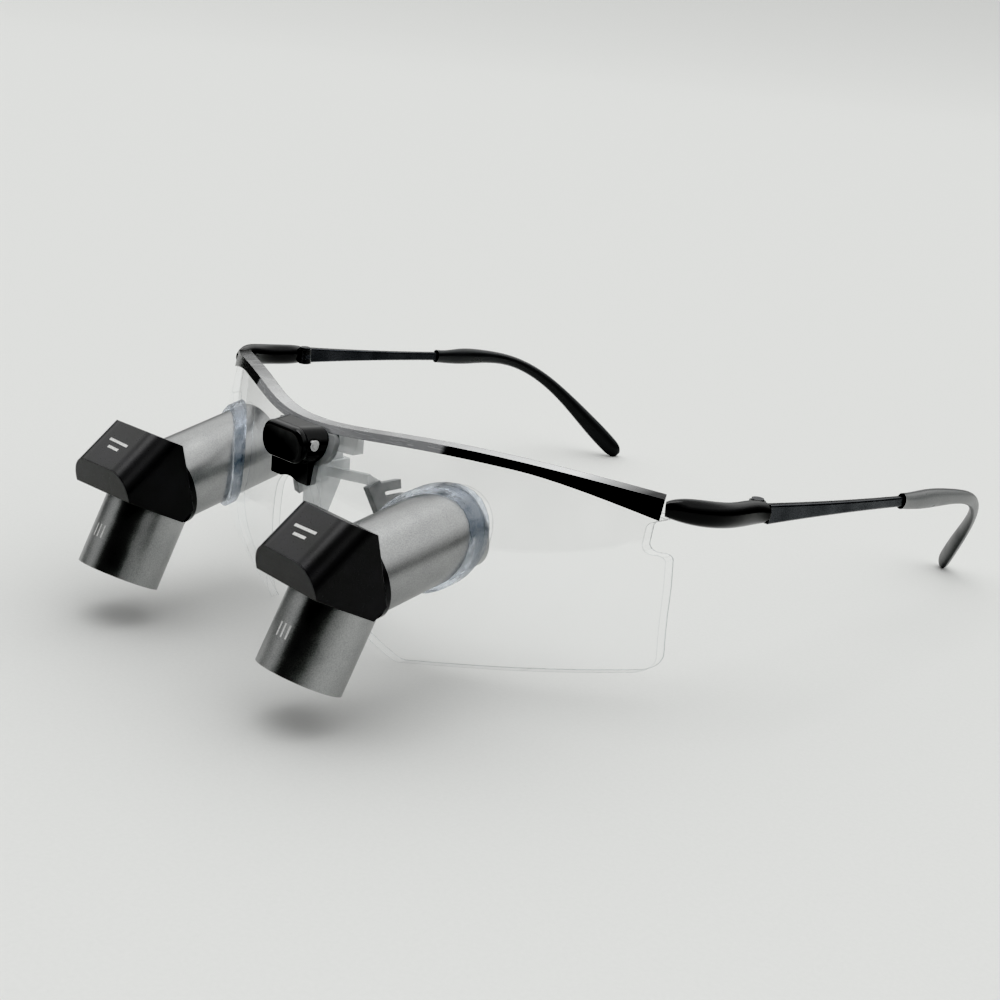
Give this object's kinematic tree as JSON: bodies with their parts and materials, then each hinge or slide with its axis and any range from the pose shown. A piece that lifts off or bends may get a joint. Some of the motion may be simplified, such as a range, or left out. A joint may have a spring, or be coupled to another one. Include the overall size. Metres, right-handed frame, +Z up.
{
  "type": "dental loupes",
  "caption": "Clear wraparound shield glasses with a half-rim brow bar and two prism magnifying telescopes bonded through the shield, with folding temples and a sliding nose piece.",
  "frame": {"origin": "on the table under the middle of the overall box", "axes": "+Z up, +X to the wearer's left, -Y forwards (the way the wearer looks)"},
  "size_m": [0.15, 0.2003, 0.0471],
  "materials": {
    "gunmetal": "satin",
    "clear_plastic": "polished",
    "steel": "polished",
    "nylon": "satin",
    "black_gloss": "gloss",
    "grey_rubber": "matte",
    "black_rubber": "matte",
    "satin_aluminium": "bead blasted",
    "dark_aluminium": "bead blasted",
    "black_anodised": "satin",
    "optical_glass": "polished",
    "clear_adhesive": "gloss"
  },
  "bodies": {
    "front": {"brow_bar": "gunmetal", "shield_lens": "clear_plastic", "hinge_screws": "gunmetal", "nose_bridge": "nylon", "lamp_mount_cap": "black_gloss", "lamp_mount_base": "black_gloss", "lamp_mount_bushes": "steel", "lamp_mount_pin": "steel", "lamp_mount_gasket": "grey_rubber", "end_piece_left": "black_gloss", "ocular_tube_left": "satin_aluminium", "objective_barrel_left": "dark_aluminium", "prism_housing_left": "black_anodised", "roof_prism_left": "optical_glass", "eye_lens_left": "optical_glass", "field_lens_left": "optical_glass", "objective_lens_left": "optical_glass", "eyepiece_ring_left": "black_anodised", "objective_ring_left": "black_anodised", "seal_ring_left": "clear_adhesive", "end_piece_right": "black_gloss", "ocular_tube_right": "satin_aluminium", "objective_barrel_right": "dark_aluminium", "prism_housing_right": "black_anodised", "roof_prism_right": "optical_glass", "eye_lens_right": "optical_glass", "field_lens_right": "optical_glass", "objective_lens_right": "optical_glass", "eyepiece_ring_right": "black_anodised", "objective_ring_right": "black_anodised", "seal_ring_right": "clear_adhesive"},
    "temple_left": {"temple_left": "gunmetal", "temple_tip_left": "black_rubber"},
    "temple_right": {"temple_right": "gunmetal", "temple_tip_right": "black_rubber"},
    "nose_piece": {"nose_carriage": "nylon", "nose_pad_left": "grey_rubber", "nose_pad_right": "grey_rubber"}
  },
  "joints": [
    {"name": "temple_left_fold", "type": "hinge", "parent": "front", "child": "temple_left", "pos_m": [0.0689, -0.0151, 0.039], "axis": [0, 0, 1], "range_deg": [0, 85]},
    {"name": "temple_right_fold", "type": "hinge", "parent": "front", "child": "temple_right", "pos_m": [-0.0689, -0.0151, 0.039], "axis": [0, 0, -1], "range_deg": [0, 94]},
    {"name": "nose_piece_slide", "type": "slide", "parent": "front", "child": "nose_piece", "axis": [0, 0, 1], "range_m": [-0.0025, 0.0025]}
  ]
}
